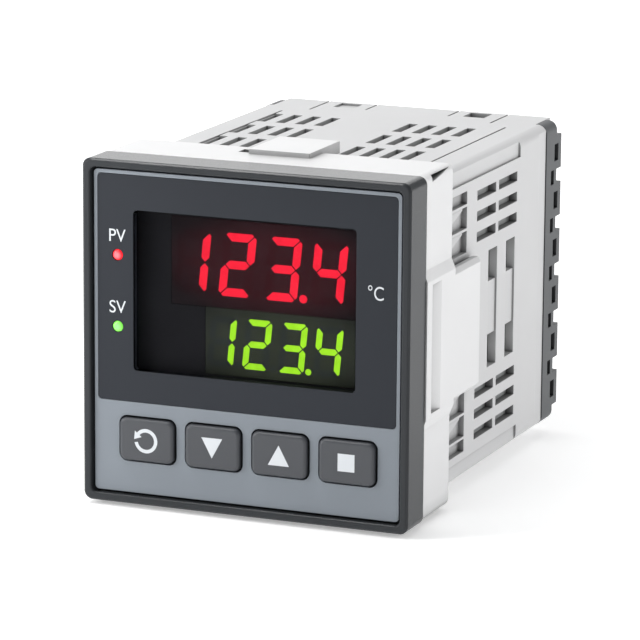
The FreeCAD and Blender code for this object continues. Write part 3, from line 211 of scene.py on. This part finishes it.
def indicator(name, node, colour, heart, strength):
    """A small round lens, lit from behind, palest at its middle."""
    m = Nodes(name)
    glow = m.ramp(m.nearness(node, *INDICATOR_HALO), [(0.1, colour), (0.75, heart)])
    shader = m.surface(Base_Color=glow, Roughness=0.3, Emission_Color=glow,
                       Emission_Strength=strength)
    return m.finish(shader)


def lit_face(name, colour, spill, node, reach_x, reach_z):
    """The face of a display module, with the light its bars spill, fading to its border."""
    m = Nodes(name)
    cloud = m.noise(250.0, 2.0)
    tone = m.ramp(cloud, [(0.3, tint(colour, 0.94)), (0.7, tint(colour, 1.06))])
    near = m.nearness(node, reach_x, reach_z)
    glow = m.ramp(near, [(0.0, tint(spill, 0.12)), (0.45, spill)])
    return m.finish(m.surface(Base_Color=tone, Roughness=0.6, Emission_Color=glow,
                              Emission_Strength=1.0))


def smoked_glass(name, tone):
    """The lens: dark see-through plastic with a polished face."""
    m = Nodes(name)
    haze = m.noise(140.0, 2.0)
    colour = m.ramp(haze, [(0.3, tint(tone, 0.96)), (0.7, tint(tone, 1.04))])
    clear = m.add("ShaderNodeBsdfTransparent")
    m.link(colour, clear.inputs["Color"])
    gloss = m.add("ShaderNodeBsdfGlossy")
    gloss.inputs["Roughness"].default_value = 0.03
    gloss.inputs["Color"].default_value = (0.5, 0.52, 0.55, 1.0)
    fresnel = m.add("ShaderNodeFresnel")
    fresnel.inputs["IOR"].default_value = 1.08
    mix = m.add("ShaderNodeMixShader")
    m.link(fresnel.outputs[0], mix.inputs["Fac"])
    m.link(clear.outputs[0], mix.inputs[1])
    m.link(gloss.outputs[0], mix.inputs[2])
    return m.finish(mix)


def board(name):
    """Green solder mask over copper tracks."""
    m = Nodes(name)
    tracks = m.add("ShaderNodeTexBrick")
    tracks.inputs["Scale"].default_value = 220.0
    tracks.inputs["Color1"].default_value = (0.02, 0.16, 0.06, 1)
    tracks.inputs["Color2"].default_value = (0.02, 0.13, 0.05, 1)
    tracks.inputs["Mortar"].default_value = (0.06, 0.3, 0.12, 1)
    m.link(m.coords, tracks.inputs["Vector"])
    normal = m.bump(tracks.outputs["Fac"], 0.3, 0.00005)
    return m.finish(m.surface(Base_Color=tracks.outputs["Color"], Roughness=0.35, Normal=normal))


# ---------------------------------------------------------------------------------------------
# Finishes
# ---------------------------------------------------------------------------------------------
# The key, case, adapter and terminal plastics carry painted shade in their corners and slots.
FINISHES = {
    "bezel_plastic": plastic("bezel_plastic", (0.040, 0.043, 0.047), 0.25, 0.06, 0.16,
                             edge=0.25, specular=0.17),
    "gasket_rubber": plastic("gasket_rubber", (0.02, 0.02, 0.022), 0.7),
    "silver_plate": plastic("silver_plate", (0.225, 0.252, 0.284), 0.5, 0.05, 0.12, 0.02),
    "dark_panel": plastic("dark_panel", (0.021, 0.0245, 0.032), 0.45, 0.04, 0.12, 0.03,
                          specular=0.25),
    "smoked_window": smoked_glass("smoked_window", (0.62, 0.62, 0.64)),
    "red_lens": indicator("red_lens", "pv_indicator", (0.9, 0.01, 0.02), (1.0, 0.13, 0.15),
                          1.0),
    "green_lens": indicator("green_lens", "sv_indicator", (0.2, 0.75, 0.08), (0.20, 0.66, 0.17),
                            0.8),
    "red_bars": lamp("red_bars", (1.0, 0.015, 0.040), 2.4),
    "green_bars": lamp("green_bars", (0.42, 0.95, 0.022), 2.1),
    "blank_bars": lit_face("blank_bars", (0.02, 0.012, 0.012), (0.080, 0.009, 0.013),
                           "pv_lit_segments", *PV_HALO),
    "sv_blank_bars": lit_face("sv_blank_bars", (0.06, 0.07, 0.06), (0.035, 0.045, 0.036),
                              "sv_display", *SV_HALO),
    "module_plastic": plastic("module_plastic", (0.040, 0.040, 0.041), 0.6, 0.0),
    "pv_face": lit_face("pv_face", (0.028, 0.026, 0.026), (0.074, 0.009, 0.013),
                        "pv_lit_segments", *PV_HALO),
    "sv_face": lit_face("sv_face", (0.07, 0.08, 0.06), (0.044, 0.054, 0.030),
                        "sv_display", *SV_HALO),
    "liner_card": plastic("liner_card", (0.36, 0.37, 0.37), 0.8, 0.1, 0.3, 0.04, 0.02),
    "key_plastic": plastic("key_plastic", (0.063, 0.067, 0.076), 0.42, 0.12, 0.14, 0.03, 0.2,
                           painted_shade_reach=0.8),
    "key_symbol": plastic("key_symbol", (0.72, 0.75, 0.78), 0.5, 0.04, 0.12, 0.02, 0.03),
    "switch_plastic": plastic("switch_plastic", (0.02, 0.02, 0.02), 0.5),
    "plunger_plastic": plastic("plunger_plastic", (0.3, 0.3, 0.3), 0.5),
    "case_plastic": plastic("case_plastic", (0.62, 0.62, 0.625), 0.5, 0.10, 0.22, 0.02, 0.12,
                            painted_shade_reach=2.5),
    "adapter_plastic": plastic("adapter_plastic", (0.76, 0.76, 0.765), 0.42, 0.05, 0.2, 0.02,
                               0.2, painted_shade_reach=3.2),
    "terminal_plastic": plastic("terminal_plastic", (0.105, 0.11, 0.115), 0.5, 0.12, 0.2, 0.05,
                                0.1, specular=0.2, painted_shade_reach=2.0),
    "plated_screw": metal("plated_screw", (0.72, 0.72, 0.68), 0.32),
    "brass_clamp": metal("brass_clamp", (0.72, 0.62, 0.40), 0.35),
    "board_laminate": board("board_laminate"),
    "chip_epoxy": plastic("chip_epoxy", (0.02, 0.02, 0.02), 0.55),
    "ferrite": plastic("ferrite", (0.05, 0.05, 0.05), 0.6, 0.3, 0.4),
    "relay_plastic": plastic("relay_plastic", (0.04, 0.09, 0.25), 0.3),
    "can_aluminium": metal("can_aluminium", (0.75, 0.75, 0.77), 0.3),
}


def dress_frame():
    """Every CAD node takes the finish of its own material slot."""
    for entry in frame["record"]["subparts"]:
        mesh = nodes[entry["node"]].data
        mesh.materials.clear()
        mesh.materials.append(FINISHES[entry["material_slot"]])


# ---------------------------------------------------------------------------------------------
# Printed lettering
# ---------------------------------------------------------------------------------------------
def lettering(name, text, across, up, width, height):
    """Flat printed characters on the dark panel, fitted to a width and height."""
    curve = bpy.data.curves.new(name, "FONT")
    curve.body = text
    curve.fill_mode = "FRONT"
    drawn = bpy.data.objects.new(name + "_outline", curve)
    bpy.context.scene.collection.objects.link(drawn)
    bpy.context.view_layer.update()
    mesh = bpy.data.meshes.new_from_object(drawn.evaluated_get(
        bpy.context.evaluated_depsgraph_get()))
    bpy.data.objects.remove(drawn)
    mesh.name = name
    xs = [v.co.x for v in mesh.vertices]
    ys = [v.co.y for v in mesh.vertices]
    scale_x = width * MM / (max(xs) - min(xs))
    scale_y = height * MM / (max(ys) - min(ys))
    middle = Vector(((max(xs) + min(xs)) / 2, (max(ys) + min(ys)) / 2, 0))
    for vertex in mesh.vertices:
        flat = vertex.co - middle
        vertex.co = Vector((across * MM + flat.x * scale_x, PLATE_Y - INK_STANDOFF,
                            CENTRE_Z + up * MM + flat.y * scale_y))
    mesh.materials.append(FINISHES["key_symbol"])
    piece = bpy.data.objects.new(name, mesh)
    bpy.context.scene.collection.objects.link(piece)
    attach(piece, ROOT)
    return piece


# ---------------------------------------------------------------------------------------------
# Room, light and camera
# ---------------------------------------------------------------------------------------------
def build_floor():
    """A pale floor with a painted glow that grows away from the object, leaving painted shade
    around it.
    """
    size = 3.0
    mesh = bpy.data.meshes.new("floor")
    mesh.from_pydata([(-size, -size, 0), (size, -size, 0), (size, size, 0), (-size, size, 0)],
                     [], [(0, 1, 2, 3)])
    m = Nodes("floor_white_painted_glow")
    speckle = m.noise(20.0)
    tone = m.ramp(speckle, [(0.3, (0.93, 0.93, 0.93)), (0.7, (0.96, 0.96, 0.96))])
    # Painted shade: the floor's glow is weakest under the object and strongest far from it.
    painted_shade_spread = m.add("ShaderNodeTexGradient", gradient_type="SPHERICAL")
    m.link(m.stretched((1.4, 1.4, 1.4)), painted_shade_spread.inputs["Vector"])
    glow = m.span(painted_shade_spread.outputs["Fac"], 0.95, 0.35)
    mesh.materials.append(m.finish(m.surface(Base_Color=tone, Roughness=0.8,
                                             Emission_Color=tone, Emission_Strength=glow)))
    floor = bpy.data.objects.new("floor", mesh)
    bpy.context.scene.collection.objects.link(floor)


def build_world():
    world = bpy.data.worlds.new("studio")
    bpy.context.scene.world = world
    world.use_nodes = True
    tree = world.node_tree
    tree.nodes.clear()
    output = tree.nodes.new("ShaderNodeOutputWorld")
    room = tree.nodes.new("ShaderNodeBackground")
    room.inputs["Color"].default_value = (0.98, 0.99, 1.0, 1)
    room.inputs["Strength"].default_value = 0.28
    backdrop = tree.nodes.new("ShaderNodeBackground")
    backdrop.inputs["Color"].default_value = (1, 1, 1, 1)
    backdrop.inputs["Strength"].default_value = 1.0
    path = tree.nodes.new("ShaderNodeLightPath")
    mix = tree.nodes.new("ShaderNodeMixShader")
    tree.links.new(path.outputs["Is Camera Ray"], mix.inputs["Fac"])
    tree.links.new(room.outputs[0], mix.inputs[1])
    tree.links.new(backdrop.outputs[0], mix.inputs[2])
    tree.links.new(mix.outputs[0], output.inputs["Surface"])


def area_light(name, place, target, width, height, power, colour=(1, 1, 1)):
    data = bpy.data.lights.new(name, "AREA")
    data.shape = "RECTANGLE"
    data.size = width
    data.size_y = height
    data.energy = power
    data.color = colour
    light = bpy.data.objects.new(name, data)
    light.location = place
    aim = Vector(target) - Vector(place)
    light.rotation_euler = aim.to_track_quat("-Z", "Y").to_euler()
    bpy.context.scene.collection.objects.link(light)


def build_lights():
    middle = (0, 0, CENTRE_Z)
    area_light("overhead", (-0.10, 0.10, 0.75), middle, 0.8, 0.8, 2.25)
    area_light("rim_strip", (-0.22, -0.14, 0.56), middle, 0.12, 0.07, 1.0)
    area_light("front_left", (-0.115, -0.11, 0.07), middle, 0.07, 0.07, 0.12)
    area_light("right_side", (0.62, 0.45, 0.30), middle, 0.5, 0.5, 2.1)
    area_light("back_panel", (-0.55, 1.3, 0.40), middle, 1.2, 0.8, 4.6)


AZIMUTH = math.radians(22.14)
ELEVATION = math.radians(12.56)
ROLL = math.radians(0.43)
FOCAL_PIXELS = 4120.6
IMAGE_PIXELS = 640
SENSOR_MM = 36.0
CAMERA_BACK = 556.65
CAMERA_RIGHT = 10.34
CAMERA_UP = 3.50


def build_camera():
    """A long lens at the photograph's angle: seen from the right, a little above."""
    sin_a, cos_a = math.sin(AZIMUTH), math.cos(AZIMUTH)
    sin_e, cos_e = math.sin(ELEVATION), math.cos(ELEVATION)
    back = Vector((sin_a * cos_e, -cos_a * cos_e, sin_e))
    right = Vector((cos_a, sin_a, 0))
    up = back.cross(right)
    place = Vector((0, FRONT_Y, CENTRE_Z)) + MM * (
        back * CAMERA_BACK + right * CAMERA_RIGHT + up * CAMERA_UP)
    turned_right = right * math.cos(ROLL) + up * math.sin(ROLL)
    turned_up = up * math.cos(ROLL) - right * math.sin(ROLL)
    data = bpy.data.cameras.new("camera")
    data.sensor_width = SENSOR_MM
    data.lens = SENSOR_MM * FOCAL_PIXELS / IMAGE_PIXELS
    data.clip_start = 0.01
    data.clip_end = 20.0
    camera = bpy.data.objects.new("camera", data)
    axes = Matrix((turned_right, turned_up, back)).transposed()
    camera.matrix_world = Matrix.Translation(place) @ axes.to_4x4()
    bpy.context.scene.collection.objects.link(camera)
    bpy.context.scene.camera = camera


dress_frame()
LABEL_X = -19.0
LABEL_WIDTH = 2.45
LABEL_HEIGHT = 1.75
lettering("pv_lettering", "PV", LABEL_X, 13.45, LABEL_WIDTH, LABEL_HEIGHT)
lettering("sv_lettering", "SV", LABEL_X, 3.5, LABEL_WIDTH, LABEL_HEIGHT)
lettering("unit_lettering", "°C", 18.9, 8.75, 2.25, 2.0)
build_floor()
build_world()
build_lights()
build_camera()
bpy.context.scene.view_settings.view_transform = "Standard"
bpy.context.scene.view_settings.look = "None"
